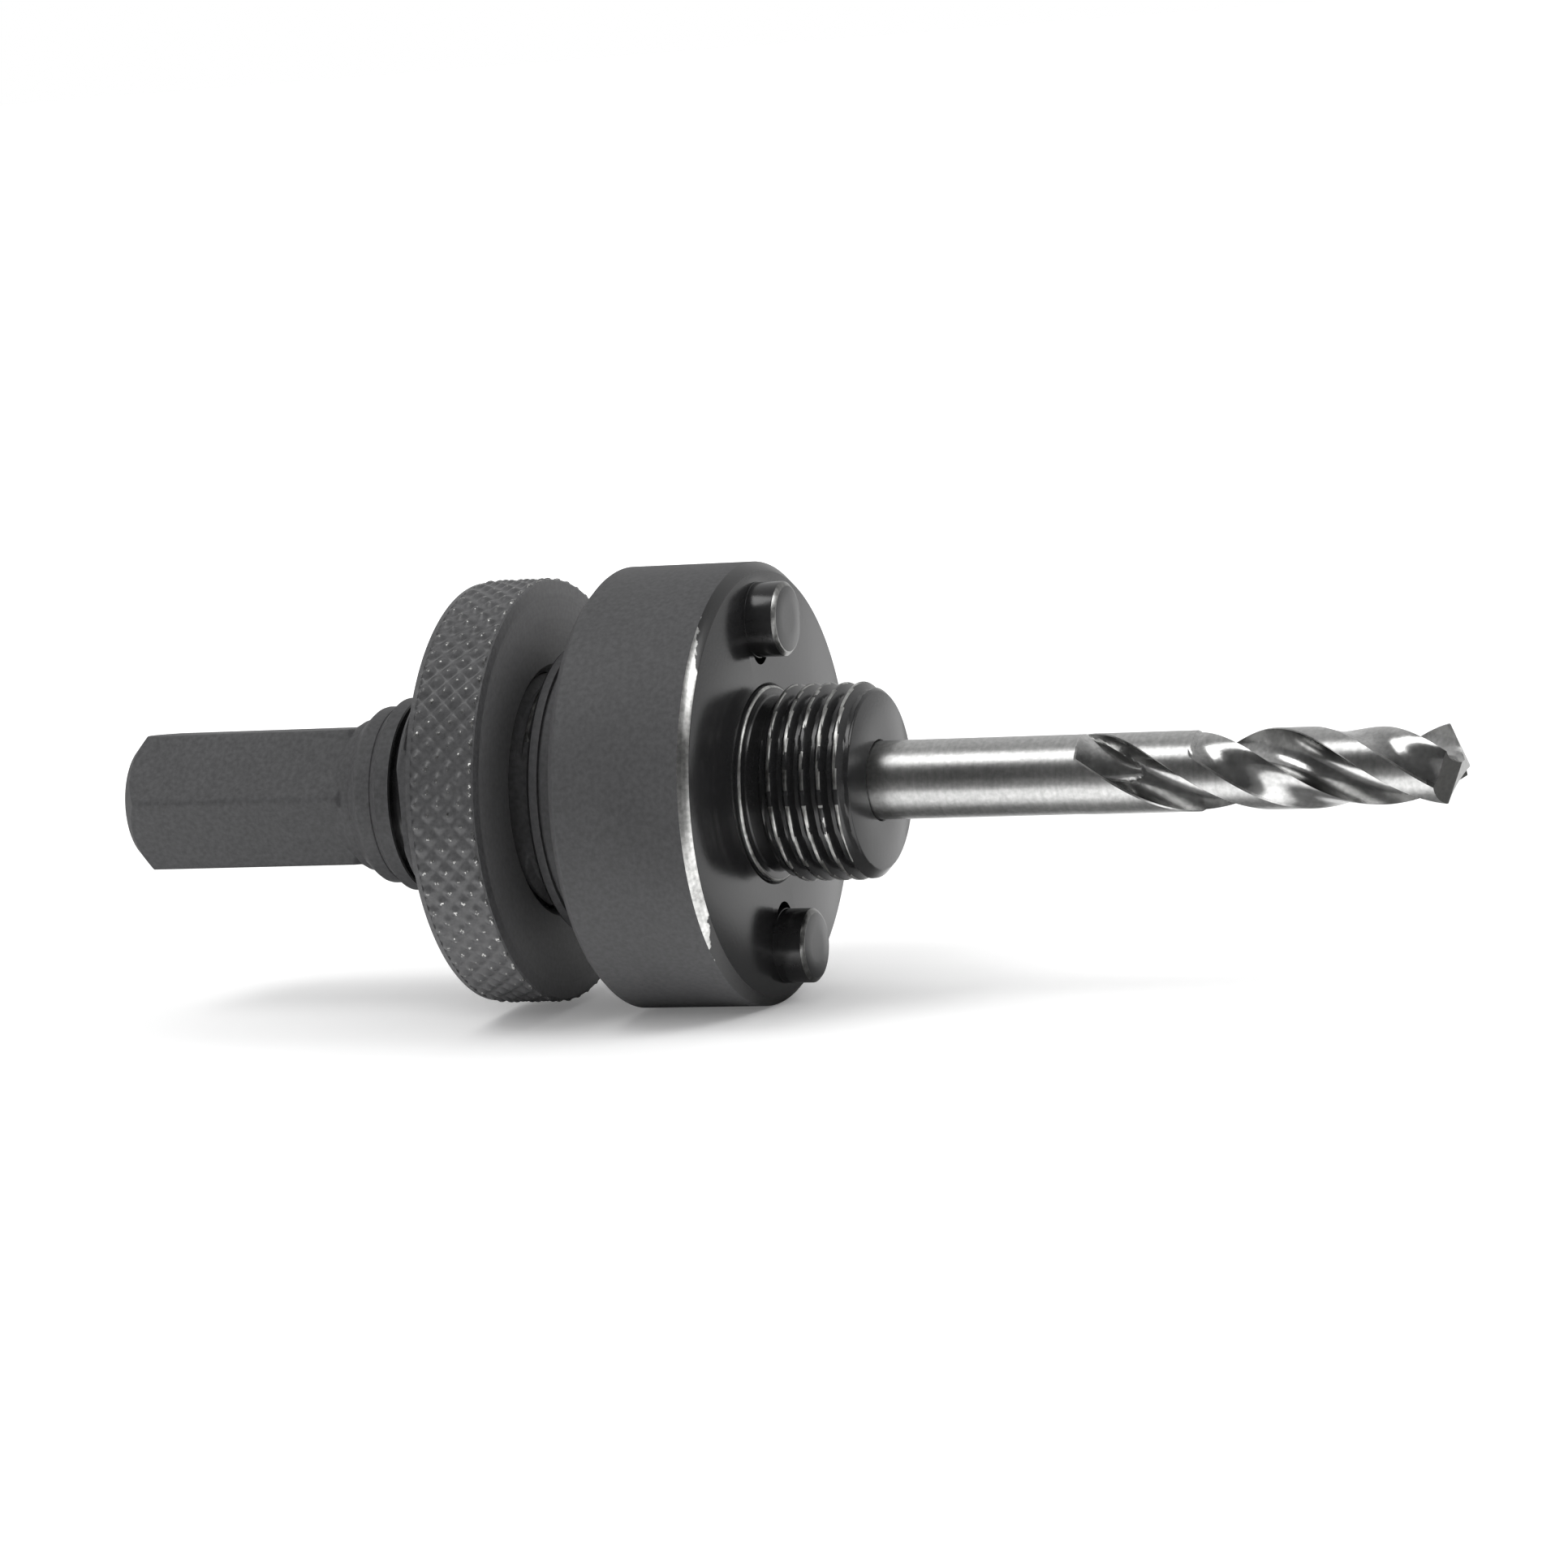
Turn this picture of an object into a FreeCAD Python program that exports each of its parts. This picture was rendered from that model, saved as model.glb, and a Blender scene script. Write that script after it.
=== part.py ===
import FreeCAD, Part
import math
import os
from FreeCAD import Matrix, Placement, Rotation, Vector

# All sizes are in millimetres and degrees. X runs along the spindle towards the drill point,
# Z is up, and X = 0 is the front face of the drive plate as it stands in the picture.

# Running fits, as radial clearances
SLIDE_CLEARANCE = 0.06
THREAD_CLEARANCE = 0.075
DRILL_CLEARANCE = 0.03
STOP_GAP = 0.05

# Drive plate
PLATE_RIM = 1.4
PLATE_THICKNESS = 12.0
PLATE_FRONT_CHAMFER = 0.75
PLATE_REAR_CHAMFER = 0.7
PLATE_WEB = 3.3
HUB_D = 23.8
HUB_LENGTH = 4.35
HUB_EDGE = 0.3
HUB_GROOVE_WIDTH = 0.3
HUB_GROOVE_DEPTH = 0.3
HUB_GROOVE_FROM_END = 1.0

# Drive pins and the stake marks that lock them
PIN_D = 6.0
PIN_PRESS_STEP = 0.2
PIN_PRESS_PROUD = 0.1
PIN_WALL = 0.45
PIN_SEAT = 9.5
PIN_PROJECTION = 2.6
PIN_CHAMFER = 0.35
STAKE_D = 3.4
STAKE_REACH = 0.4
STAKE_DEPTH = 0.9

# Lock nut
NUT_D = 34.5
NUT_WIDTH = 5.9
NUT_GAP = 2.2
NUT_EDGE = 0.25
NUT_COUNTERSINK = 0.7

# Spindle body: its thread is drawn at the crest, with two flats milled along it
BODY_D = 19.05
BODY_FLATS = 15.9
BODY_CHAMFER = 0.6
BODY_RUNOUT = 2.2
RETRACT_TRAVEL = 2.65

# Spindle nose
JOURNAL_D = 15.8
JOURNAL_PROUD = 0.45
JOURNAL_EDGE = 0.3
RELIEF_D = 14.0
RELIEF_LENGTH = 1.55
NOSE_D = 15.8
NOSE_LENGTH = 7.35
NOSE_CHAMFER = 0.8

# Spindle rear: neck, collar and the two stepped cones that run down to the hexagon
NECK_D = 14.2
NECK_LENGTH = 1.0
COLLAR_D = 15.8
COLLAR_LENGTH = 1.3
STEP_LARGE_D = 14.5
STEP_LARGE_LENGTH = 1.4
STEP_SMALL_D = 12.4
STEP_SMALL_LENGTH = 0.5
STEP_ANGLE = 43.0
ROOT_ANGLE = 26.0

# Hexagon shank
SHANK_FLATS = 11.11
SHANK_LENGTH = 19.35
SHANK_CHAMFER_ANGLE = 35.0
SHANK_FADE = 0.9
SHANK_TURN = 6.6
SHANK_JOIN = 0.4
CENTRE_HOLE_D = 2.4

# Pilot drill
DRILL_D = 6.35
DRILL_SHANK_RELIEF = 0.03
DRILL_LENGTH = 89.5
DRILL_PROJECTION = 48.15
FLUTE_LENGTH = 30.9
FLUTE_LEAD = 29.6
FLUTE_WIDTH_ANGLE = 72.0
FLUTE_RUNOUT = 6.0
FLUTE_STEP = 1.1
FLUTE_FACETS = 7
LAND_FACETS = 3
CLEARANCE_FACETS = 6
FLUTE_PHASE = 81.0
FLUTE_PHASE_FROM_POINT = 18.4
WEB_THICKNESS = 1.3
LAND_ANGLE = 38.0
HEEL_DROP = 0.16
BODY_CLEARANCE = 0.4
CLEARANCE_LENGTH = 21.3
POINT_ANGLE = 135.0
LIP_CLEARANCE_ANGLE = 12.0
HEEL_CLEARANCE_ANGLE = 34.0
LIP_FACET_WIDTH = 0.7
DRILL_END_CHAMFER = 0.4
DRILL_END_ROOM = 2.0

# Set screw that clamps the drill
SCREW_D = 4.0
SCREW_LENGTH = 4.4
SCREW_SOCKET_FLATS = 2.0
SCREW_SOCKET_DEPTH = 2.0
SCREW_POINT_D = 2.2
SCREW_FROM_NUT = 2.5

# Sizes worked out from the ones above
PIN_SEAT_D = PIN_D + 2 * PIN_PRESS_STEP
PIN_CIRCLE_D = BODY_D + 2 * THREAD_CLEARANCE + 2 * PIN_WALL + PIN_SEAT_D
PLATE_D = PIN_CIRCLE_D + PIN_SEAT_D + 2 * PLATE_RIM

# Stations along the axis, worked out in the same way
HUB_REAR = -(PLATE_THICKNESS + HUB_LENGTH)
NUT_FRONT = HUB_REAR - NUT_GAP
NUT_REAR = NUT_FRONT - NUT_WIDTH
BODY_FRONT = -(PLATE_WEB + RETRACT_TRAVEL + STOP_GAP)
BODY_REAR = NUT_REAR - RETRACT_TRAVEL - BODY_RUNOUT
RELIEF_FRONT = JOURNAL_PROUD + RELIEF_LENGTH
NOSE_TIP = RELIEF_FRONT + NOSE_LENGTH
COLLAR_FRONT = BODY_REAR - NECK_LENGTH
COLLAR_REAR = COLLAR_FRONT - COLLAR_LENGTH
DRILL_TIP = NOSE_TIP + DRILL_PROJECTION
DRILL_REAR = DRILL_TIP - DRILL_LENGTH
SCREW_X = NUT_REAR - SCREW_FROM_NUT

AXIS = Vector(1, 0, 0)
ORIGIN = Vector(0, 0, 0)


def rod(diameter, x_start, x_end):
    """A plain cylinder on the spindle axis."""
    return Part.makeCylinder(diameter / 2, x_end - x_start, Vector(x_start, 0, 0), AXIS)


def turned(profile):
    """A solid turned about the X axis from points (x, radius), listed from the rear to the front."""
    points = [Vector(x, 0, r) for x, r in profile]
    points.insert(0, Vector(profile[0][0], 0, 0))
    points.append(Vector(profile[-1][0], 0, 0))
    points.append(points[0])
    return Part.Face(Part.makePolygon(points)).revolve(ORIGIN, AXIS, 360)


def radial(angle, radius, x=0.0):
    """A point at a radius and at an angle about X, counted from +Y towards +Z."""
    a = math.radians(angle)
    return Vector(x, radius * math.cos(a), radius * math.sin(a))


def hexagon_bar(flats, x_start, x_end, turn):
    """A hexagon prism along X, with one corner at the angle turn about X."""
    corner = flats / math.sqrt(3)
    points = [radial(turn + 60 * i, corner, x_start) for i in range(7)]
    return Part.Face(Part.makePolygon(points)).extrude(Vector(x_end - x_start, 0, 0))


def flatted(solid, flats):
    """Keeps what lies between two flats that face +Y and -Y."""
    reach = 200.0
    slab = Part.makeBox(2 * reach, flats, 2 * reach, Vector(-reach, -flats / 2, -reach))
    return solid.common(slab)


def flare_profile():
    """The stepped cones from the hexagon's end up to the collar, as points (x, radius)."""
    step = math.tan(math.radians(STEP_ANGLE))
    root = math.tan(math.radians(ROOT_ANGLE))
    large_front = COLLAR_REAR - (COLLAR_D - STEP_LARGE_D) / 2 / step
    large_rear = large_front - STEP_LARGE_LENGTH
    small_front = large_rear - (STEP_LARGE_D - STEP_SMALL_D) / 2 / step
    small_rear = small_front - STEP_SMALL_LENGTH
    root_rear = small_rear - (STEP_SMALL_D - SHANK_FLATS) / 2 / root
    return [
        (root_rear, SHANK_FLATS / 2),
        (small_rear, STEP_SMALL_D / 2),
        (small_front, STEP_SMALL_D / 2),
        (large_rear, STEP_LARGE_D / 2),
        (large_front, STEP_LARGE_D / 2),
        (COLLAR_REAR, COLLAR_D / 2),
        (COLLAR_FRONT, COLLAR_D / 2),
    ]


def make_shank(x_front):
    """The hexagon that the drill chuck grips. Its corners are turned off at both ends, and it has a centre hole."""
    x_rear = x_front - SHANK_LENGTH
    x_join = x_front + SHANK_JOIN
    bar = hexagon_bar(SHANK_FLATS, x_rear, x_join, 180 - SHANK_TURN)
    flat = SHANK_FLATS / 2
    corner = SHANK_FLATS / math.sqrt(3)
    length = (corner - flat) / math.tan(math.radians(90 - SHANK_CHAMFER_ANGLE))
    blank = turned(
        [
            (x_rear, flat),
            (x_rear + length, corner),
            (x_front - SHANK_FADE, corner),
            (x_front, flat),
            (x_join, flat),
        ]
    )
    centre = Part.makeCone(CENTRE_HOLE_D / 2, 0, CENTRE_HOLE_D * 0.87, Vector(x_rear, 0, 0), AXIS)
    return bar.common(blank).cut(centre)


def make_spindle():
    """One bar: hexagon shank, stepped flare, collar, threaded body with flats, journal and nose."""
    body = turned(
        [
            (BODY_REAR, BODY_D / 2 - BODY_CHAMFER),
            (BODY_REAR + BODY_CHAMFER, BODY_D / 2),
            (BODY_FRONT - BODY_CHAMFER, BODY_D / 2),
            (BODY_FRONT, BODY_D / 2 - BODY_CHAMFER),
        ]
    )
    body = flatted(body, BODY_FLATS)
    front = turned(
        [
            (BODY_FRONT - 1.0, JOURNAL_D / 2),
            (JOURNAL_PROUD - JOURNAL_EDGE, JOURNAL_D / 2),
            (JOURNAL_PROUD, JOURNAL_D / 2 - JOURNAL_EDGE),
            (JOURNAL_PROUD, RELIEF_D / 2),
            (RELIEF_FRONT - (NOSE_D - RELIEF_D) / 4, RELIEF_D / 2),
            (RELIEF_FRONT, NOSE_D / 2),
            (NOSE_TIP - NOSE_CHAMFER, NOSE_D / 2),
            (NOSE_TIP, NOSE_D / 2 - NOSE_CHAMFER),
        ]
    )
    flare = flare_profile()
    rear = turned(flare + [(COLLAR_FRONT, NECK_D / 2), (BODY_REAR + 1.0, NECK_D / 2)])
    spindle = make_shank(flare[0][0]).fuse([rear, body, front]).removeSplitter()
    bore = rod(DRILL_D + 2 * DRILL_CLEARANCE, DRILL_REAR - DRILL_END_ROOM, NOSE_TIP + 1.0)
    tapped = Part.makeCylinder(SCREW_D / 2 + THREAD_CLEARANCE, BODY_D, Vector(SCREW_X, 0, 0), Vector(0, 1, 0))
    return spindle.cut(bore).cut(tapped)


def pin_axis_point(angle, x):
    """A point on the axis of the drive pin that stands at this angle about X."""
    return radial(angle, PIN_CIRCLE_D / 2, x)


def make_plate():
    """The round drive plate with its rear hub, stepped bore, pin holes and stake marks."""
    groove_front = HUB_REAR + HUB_GROOVE_FROM_END + HUB_GROOVE_WIDTH
    blank = turned(
        [
            (HUB_REAR, HUB_D / 2 - HUB_EDGE),
            (HUB_REAR + HUB_EDGE, HUB_D / 2),
            (HUB_REAR + HUB_GROOVE_FROM_END, HUB_D / 2),
            (HUB_REAR + HUB_GROOVE_FROM_END, HUB_D / 2 - HUB_GROOVE_DEPTH),
            (groove_front, HUB_D / 2 - HUB_GROOVE_DEPTH),
            (groove_front, HUB_D / 2),
            (-PLATE_THICKNESS, HUB_D / 2),
            (-PLATE_THICKNESS, PLATE_D / 2 - PLATE_REAR_CHAMFER),
            (-PLATE_THICKNESS + PLATE_REAR_CHAMFER, PLATE_D / 2),
            (-PLATE_FRONT_CHAMFER, PLATE_D / 2),
            (0, PLATE_D / 2 - PLATE_FRONT_CHAMFER),
        ]
    )
    bore = rod(JOURNAL_D + 2 * SLIDE_CLEARANCE, HUB_REAR - 1.0, 1.0)
    pocket = rod(BODY_D + 2 * THREAD_CLEARANCE, HUB_REAR - 1.0, -PLATE_WEB)
    pocket = flatted(pocket, BODY_FLATS + 2 * SLIDE_CLEARANCE)
    plate = blank.cut(bore).cut(pocket)
    for angle in (90, 270):
        hole = Part.makeCylinder(PIN_SEAT_D / 2, PIN_SEAT + 1, pin_axis_point(angle, -PIN_SEAT), AXIS)
        reach = (PIN_CIRCLE_D - PIN_SEAT_D + STAKE_D) / 2 - STAKE_REACH
        stake = Part.makeCylinder(STAKE_D / 2, STAKE_DEPTH + 1, radial(angle, reach, -STAKE_DEPTH), AXIS)
        plate = plate.cut(hole).cut(stake)
    return plate


def make_pin(angle):
    """A hardened pin: its thicker part is pressed into a blind hole, and its free end stands out, chamfered."""
    foot = pin_axis_point(angle, -PIN_SEAT)
    seated = Part.makeCylinder(PIN_SEAT_D / 2, PIN_SEAT + PIN_PRESS_PROUD, foot, AXIS)
    free_length = PIN_PROJECTION - PIN_CHAMFER - PIN_PRESS_PROUD
    free = Part.makeCylinder(PIN_D / 2, free_length, pin_axis_point(angle, PIN_PRESS_PROUD), AXIS)
    end_foot = pin_axis_point(angle, PIN_PROJECTION - PIN_CHAMFER)
    end = Part.makeCone(PIN_D / 2, PIN_D / 2 - PIN_CHAMFER, PIN_CHAMFER, end_foot, AXIS)
    return seated.fuse([free, end])


def make_nut():
    """The round lock nut behind the plate, countersunk on both faces."""
    blank = turned(
        [
            (NUT_REAR, NUT_D / 2 - NUT_EDGE),
            (NUT_REAR + NUT_EDGE, NUT_D / 2),
            (NUT_FRONT, NUT_D / 2),
        ]
    )
    bore_d = BODY_D + 2 * THREAD_CLEARANCE
    mouth = bore_d / 2 + NUT_COUNTERSINK
    nut = blank.cut(rod(bore_d, NUT_REAR - 1.0, NUT_FRONT + 1.0))
    for x, direction in ((NUT_REAR, 1), (NUT_FRONT, -1)):
        nut = nut.cut(Part.makeCone(mouth, bore_d / 2, NUT_COUNTERSINK, Vector(x, 0, 0), AXIS * direction))
    return nut


def flute_edge_angle(radius, centre, wheel):
    """Half the angle that one flute takes up at a radius, in degrees."""
    return math.degrees(math.acos((radius**2 + centre**2 - wheel**2) / (2 * radius * centre)))


def flute_outline(x, phase):
    """Points around the drill at x: two round flutes, and two lands with a hollow clearance up to their heels."""
    full = DRILL_D / 2
    cleared = 1 if x > DRILL_TIP - CLEARANCE_LENGTH else 0
    low = full - HEEL_DROP * cleared
    web = WEB_THICKNESS / 2
    half = math.radians(FLUTE_WIDTH_ANGLE / 2)
    centre = (full**2 - web**2) / (2 * (full * math.cos(half) - web))
    wheel = centre - web
    lip_side = flute_edge_angle(full, centre, wheel)
    heel_side = flute_edge_angle(low, centre, wheel)
    sweep_lip = math.asin(full * math.sin(math.radians(lip_side)) / wheel)
    sweep_heel = math.asin(low * math.sin(math.radians(heel_side)) / wheel)
    hollow = 180 - lip_side - heel_side - LAND_ANGLE
    points = []
    for flute in (phase, phase + 180):
        for i in range(FLUTE_FACETS + 1):
            turn = -sweep_lip + (sweep_lip + sweep_heel) * i / FLUTE_FACETS
            inward = centre - wheel * math.cos(turn)
            across = wheel * math.sin(turn)
            angle = flute + math.degrees(math.atan2(across, inward))
            points.append(radial(angle, math.hypot(inward, across), x))
        for i in range(1, CLEARANCE_FACETS):
            share = i / CLEARANCE_FACETS
            depth = HEEL_DROP * (1 - share) + BODY_CLEARANCE * math.sin(math.pi * share**1.3)
            points.append(radial(flute + heel_side + hollow * share, full - depth * cleared, x))
        for i in range(LAND_FACETS):
            points.append(radial(flute + heel_side + hollow + LAND_ANGLE * i / LAND_FACETS, full, x))
    return points


def twisted_flutes(x_start, x_end):
    """The fluted length: its outline turns once per lead, and flat facets join each outline to the next."""
    steps = math.ceil((x_end - x_start) / FLUTE_STEP)
    rings = []
    for i in range(steps + 1):
        x = x_start + (x_end - x_start) * i / steps
        turn = 360 * (x - DRILL_TIP + FLUTE_PHASE_FROM_POINT) / FLUTE_LEAD
        rings.append(flute_outline(x, FLUTE_PHASE + turn))
    faces = [Part.Face(Part.makePolygon(ring + ring[:1])) for ring in (rings[0], rings[-1])]
    count = len(rings[0])
    for rear, front in zip(rings, rings[1:]):
        for i in range(count):
            j = (i + 1) % count
            faces.append(Part.Face(Part.makePolygon([rear[i], rear[j], front[i], rear[i]])))
            faces.append(Part.Face(Part.makePolygon([rear[j], front[j], front[i], rear[j]])))
    return Part.Solid(Part.Shell(faces))


def point_cutter(lip_angle, clearance_angle, setback):
    """All that lies in front of one ground facet of the point. The facet holds a line parallel to its lip."""
    along = 1 / math.tan(math.radians(POINT_ANGLE / 2))
    behind = math.tan(math.radians(clearance_angle))
    lip = radial(lip_angle, 1.0)
    trailing = radial(lip_angle - 90, 1.0)
    normal = AXIS + lip * along + trailing * behind
    size = 6 * DRILL_D
    box = Part.makeBox(size, size, size, Vector(-size / 2, -size / 2, 0))
    box.Placement = Placement(Vector(DRILL_TIP, 0, 0) + trailing * setback, Rotation(Vector(0, 0, 1), normal))
    return box


def make_drill():
    """The pilot drill: plain shank, twisted flutes that run out to it, and a four-facet point."""
    flute_start = DRILL_TIP - FLUTE_LENGTH
    shank_r = DRILL_D / 2 - DRILL_SHANK_RELIEF
    shank = turned(
        [
            (DRILL_REAR, shank_r - DRILL_END_CHAMFER),
            (DRILL_REAR + DRILL_END_CHAMFER, shank_r),
            (flute_start, shank_r),
            (flute_start + FLUTE_RUNOUT * 0.3, DRILL_D * 0.36),
            (flute_start + FLUTE_RUNOUT * 0.65, DRILL_D * 0.2),
            (flute_start + FLUTE_RUNOUT, WEB_THICKNESS * 0.3),
        ]
    )
    fluted = twisted_flutes(flute_start - 0.5, DRILL_TIP + 1.0)
    drill = shank.fuse(fluted)
    flute_at_tip = FLUTE_PHASE + 360 * FLUTE_PHASE_FROM_POINT / FLUTE_LEAD
    for half_turn in (0, 180):
        lip_angle = flute_at_tip - FLUTE_WIDTH_ANGLE / 2 + half_turn
        drill = drill.cut(point_cutter(lip_angle, LIP_CLEARANCE_ANGLE, 0.0))
        drill = drill.cut(point_cutter(lip_angle, HEEL_CLEARANCE_ANGLE, LIP_FACET_WIDTH))
    return drill


def make_set_screw():
    """A socket set screw that bears on the drill through one flat of the body."""
    tip = DRILL_D / 2 + STOP_GAP
    point = (SCREW_D - SCREW_POINT_D) / 2
    foot = Vector(SCREW_X, tip, 0)
    up = Vector(0, 1, 0)
    cone = Part.makeCone(SCREW_POINT_D / 2, SCREW_D / 2, point, foot, up)
    shank = Part.makeCylinder(SCREW_D / 2, SCREW_LENGTH - point, foot + up * point, up)
    corner = SCREW_SOCKET_FLATS / math.sqrt(3)
    top = foot + up * (SCREW_LENGTH - SCREW_SOCKET_DEPTH)
    ring = []
    for i in range(7):
        a = math.radians(60 * i)
        ring.append(top + Vector(corner * math.cos(a), 0, corner * math.sin(a)))
    socket = Part.Face(Part.makePolygon(ring)).extrude(up * (SCREW_SOCKET_DEPTH + 1))
    return cone.fuse(shank).cut(socket)


def save(name, shape):
    """Writes one solid to its own file."""
    os.makedirs("parts", exist_ok=True)
    print(name, "solids", len(shape.Solids), "valid", shape.isValid(), "volume", round(shape.Volume, 1))
    shape.exportStep("parts/" + name + ".step")


save("spindle", make_spindle())
save("drive_plate", make_plate())
save("drive_pin_upper", make_pin(90))
save("drive_pin_lower", make_pin(270))
save("lock_nut", make_nut())
save("pilot_drill", make_drill())
save("set_screw", make_set_screw())
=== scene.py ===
import math
import bmesh
import bpy
import numpy as np
from mathutils import Matrix, Vector, noise


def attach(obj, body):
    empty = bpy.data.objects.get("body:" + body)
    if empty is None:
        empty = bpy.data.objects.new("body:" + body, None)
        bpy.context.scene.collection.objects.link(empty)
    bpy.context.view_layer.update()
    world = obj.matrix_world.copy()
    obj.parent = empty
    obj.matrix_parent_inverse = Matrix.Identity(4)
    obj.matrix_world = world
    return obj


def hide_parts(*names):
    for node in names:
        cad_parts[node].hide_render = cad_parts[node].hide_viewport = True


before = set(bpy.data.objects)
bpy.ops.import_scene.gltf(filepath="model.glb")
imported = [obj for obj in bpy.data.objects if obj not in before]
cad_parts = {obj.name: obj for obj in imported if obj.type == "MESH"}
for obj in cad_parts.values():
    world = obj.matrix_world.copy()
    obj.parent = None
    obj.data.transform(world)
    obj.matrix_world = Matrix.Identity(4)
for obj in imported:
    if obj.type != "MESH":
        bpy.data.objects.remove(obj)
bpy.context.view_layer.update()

# Spindle. One bar of steel: a milled hexagon, a turned flare and collar, a threaded body with two flats, and
# the threaded nose that a saw screws onto. Turned and milled, then blackened in a hot oxide bath. The crests
# of the threads and the edge at the foot of the nose are rubbed to bare steel, save a thin band of crests at
# mid-height, which stays black as painted shade. The relief groove behind the body's thread takes the
# near-black glossy finish as painted shade.

spindle_sides, thread_angle = 240, 60
hex_half_flats, hex_corner_r, hex_clock, hex_run = 5.555, 6.33, 173.4, (-50.0, -44.0)
hex_rear, hex_end_r, hex_chamfer_front, hex_chamfer_rings = -55.99, 4.9, -54.5, 16
centre_hole_bottom, centre_hole_r = (-54.2, 0.05), 1.2
flare_x, flare_r = [-36.65, -36.2, -35.7, -35.33], [5.555, 5.75, 6.0, 6.2]
flare_front, flare_rings, corner_r, corner_front, corner_slope = -35.45, 13, 6.4, -36.1, 0.8
collar_profile = [
    (-35.33, 6.2), (-34.83, 6.22), (-34.4, 6.62), (-33.95, 7.02), (-33.7, 7.2), (-33.5, 7.25),
    (-32.45, 7.25), (-32.38, 7.17), (-32.3, 7.25), (-31.65, 7.8), (-31.6, 7.9), (-31.55, 7.9),
    (-30.42, 7.9), (-30.3, 7.8), (-30.3, 7.15), (-29.35, 7.15),
]
body_r, body_root_r, body_pitch, body_crest = 9.525, 8.85, 1.5875, 0.35
body_rear, body_front, body_rings, body_lead_in, lead_in_slope = -29.3, -13.2, 120, 0.9, 1.2
body_half_flats, journal_r, journal_run, shoulder_x, shoulder_r = 7.95, 9.4, (-13.1, -6.5), -6.0, 8.9
nose_base_profile = [
    (-6.0, 7.9), (0.1, 7.9), (0.22, 7.87), (0.33, 7.79), (0.41, 7.68), (0.45, 7.55), (0.45, 7.3),
    (0.5, 7.12), (0.62, 7.02), (0.8, 7.0),
]
nose_r, nose_root_r, nose_pitch, nose_crest = 7.9, 7.2, 1.4111, 0.24
nose_rear, nose_front, nose_rings = 1.55, 9.3, 100
nose_lead_in_x, nose_lead_in_r, nose_end_x, nose_end_r = 1.6, 7.0, 9.33, 7.12
nose_end_profile = [(9.35, 7.05), (9.35, 3.28), (9.27, 3.205), (-34.0, 3.205)]
screw_hole_start, screw_hole_r, screw_hole_length = (-26.95, 3.3, 0), 2.075, 9
satin_grey, satin_rough, satin_spec = (0.06, 0.06, 0.062), 0.6, 0.35
# The groove span marks the relief groove behind the body's thread, which takes the near-black glossy finish
# as painted shade.
gloss_grey, gloss_rough, groove_painted_shade = (0.012, 0.012, 0.0125), 0.2, (-30.4, -29.3)
# The last crest number is the half-height, in metres, of a band about mid-height where the crests stay black
# as painted shade.
crest_grey, crest_patches, crest_limit, crest_painted_shade_half = (0.32, 0.32, 0.31), 520, -0.25, 0.0007
rubbed_nose, rubbed_body, rubbed_foot = (1.5, 9.0, 7.83), (-18.6, -16.3, 9.47), (0.2, 0.42, 7.5)


def rings_mesh(rings, count, capped=True):
    """Points in metres and faces of a surface around the X axis. Each ring is (x, radius or radii)."""
    angle = np.arange(count) * 2 * math.pi / count
    points = np.zeros((len(rings), count, 3))
    for i, (x, r) in enumerate(rings):
        points[i, :, 0] = x
        points[i, :, 1] = np.cos(angle) * r
        points[i, :, 2] = np.sin(angle) * r
    start = np.arange(len(rings) - 1)[:, None] * count
    a = start + np.arange(count)[None, :]
    b = start + (np.arange(count) + 1)[None, :] % count
    faces = np.stack([a, b, b + count, a + count], axis=-1).reshape(-1, 4).tolist()
    if capped:
        last = (len(rings) - 1) * count
        faces.append(list(range(count))[::-1])
        faces.append([last + i for i in range(count)])
    return points.reshape(-1, 3) / 1000, faces


def cylinder_mesh(start, direction, radius, length, count=72):
    """Points in metres and faces of a closed cylinder, given in millimetres from start along direction."""
    d = Vector(direction).normalized()
    side = d.orthogonal().normalized()
    other = d.cross(side)
    points = []
    for step in (0.0, length):
        for i in range(count):
            a = 2 * math.pi * i / count
            p = Vector(start) + d * step + (side * math.cos(a) + other * math.sin(a)) * radius
            points.append(tuple(p / 1000))
    faces = [[i, (i + 1) % count, (i + 1) % count + count, i + count] for i in range(count)]
    faces.append(list(range(count))[::-1])
    faces.append([count + i for i in range(count)])
    return points, faces


def make_object(name, points, faces, sharp=30):
    """A smooth-shaded mesh object whose edges over the angle sharp stay crisp."""
    mesh = bpy.data.meshes.new(name)
    mesh.from_pydata([tuple(p) for p in points], [], faces)
    mesh.validate()
    mesh.polygons.foreach_set("use_smooth", [True] * len(mesh.polygons))
    mesh.set_sharp_from_angle(angle=math.radians(sharp))
    obj = bpy.data.objects.new(name, mesh)
    bpy.context.scene.collection.objects.link(obj)
    return obj


def cut_out(obj, points, faces, sharp=30):
    """Takes a closed shape out of obj."""
    tool = make_object(obj.name + " cutter", points, faces)
    step = obj.modifiers.new("cut", "BOOLEAN")
    step.operation = "DIFFERENCE"
    step.solver = "EXACT"
    step.object = tool
    bpy.context.view_layer.update()
    mesh = bpy.data.meshes.new_from_object(obj.evaluated_get(bpy.context.evaluated_depsgraph_get()))
    obj.modifiers.remove(step)
    obj.data = mesh
    mesh.set_sharp_from_angle(angle=math.radians(sharp))
    bpy.data.objects.remove(tool)


def thread_radius(x, angle, pitch, crest_r, root_r, crest):
    """Radius of a right-handed thread with a flat crest."""
    away = np.abs((x / pitch - angle / (2 * math.pi)) % 1.0 - 0.5) * pitch
    depth = np.maximum(away - crest / 2, 0) / math.tan(math.radians(thread_angle / 2))
    return np.clip(crest_r - depth, root_r, crest_r)


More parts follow.
